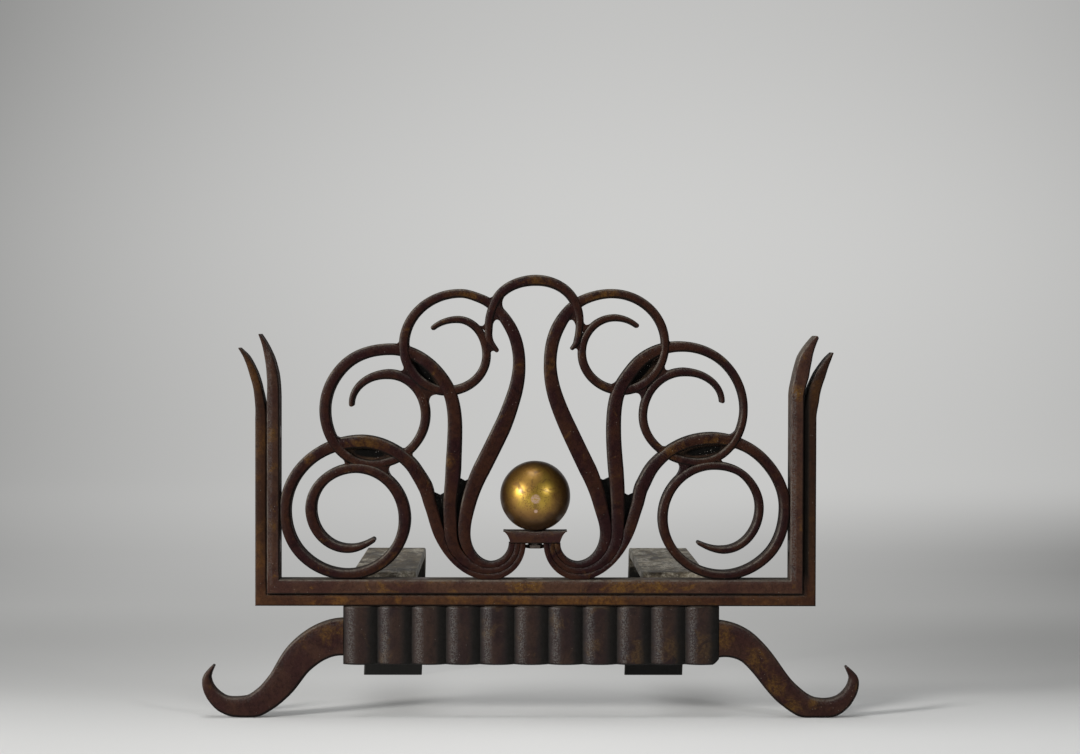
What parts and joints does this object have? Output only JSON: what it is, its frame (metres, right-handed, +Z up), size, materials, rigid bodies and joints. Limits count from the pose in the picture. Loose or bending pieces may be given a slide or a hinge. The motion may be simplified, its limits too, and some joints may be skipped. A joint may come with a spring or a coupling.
{
  "type": "andiron",
  "caption": "Wrought-iron andiron: scrolled screen in a flared U-shaped frame, brass ball on a seat, reeded apron, curled front feet and log bars with rear legs.",
  "frame": {"origin": "on the floor, in the middle of the object's length and depth", "axes": "+X to the object's right seen from the front, +Y to the back along the log bars, +Z up"},
  "size_m": [0.6056, 0.313, 0.408],
  "materials": {
    "frame_iron": "dark red-brown patinated wrought iron with ochre rust patches and worn light edges",
    "scroll_iron": "dark purple-brown patinated wrought iron with worn light edges",
    "dark_iron": "sooty greenish black iron",
    "aged_brass": "worn polished brass with darker patches and small pits",
    "steel_fastener": "darkened steel, ground flush",
    "apron_iron": "brown patinated iron with ochre rust patches, satin",
    "log_bar_iron": "grey-beige worn iron with light scratches"
  },
  "bodies": {
    "root": {"inner_frame": "frame_iron", "outer_frame": "frame_iron", "left_swan_scroll": "scroll_iron", "right_swan_scroll": "scroll_iron", "left_middle_scroll": "scroll_iron", "right_middle_scroll": "scroll_iron", "left_lower_scroll": "scroll_iron", "right_lower_scroll": "scroll_iron", "top_arch": "scroll_iron", "left_inner_web": "dark_iron", "left_outer_web": "dark_iron", "right_inner_web": "dark_iron", "right_outer_web": "dark_iron", "left_upper_lens_web": "dark_iron", "left_lower_lens_web": "dark_iron", "right_upper_lens_web": "dark_iron", "right_lower_lens_web": "dark_iron", "ball_seat": "scroll_iron", "brass_ball": "aged_brass", "ball_stud": "steel_fastener", "stud_washer": "steel_fastener", "stud_nut": "steel_fastener", "reeded_apron": "apron_iron", "left_leg": "apron_iron", "right_leg": "apron_iron", "left_log_bar": "log_bar_iron", "right_log_bar": "log_bar_iron", "frame_screws": "steel_fastener", "scroll_screws": "steel_fastener", "post_rivets": "steel_fastener", "ring_rivets": "steel_fastener", "lap_pins": "steel_fastener", "leg_pins": "steel_fastener", "log_bar_bolts": "steel_fastener"}
  },
  "joints": []
}
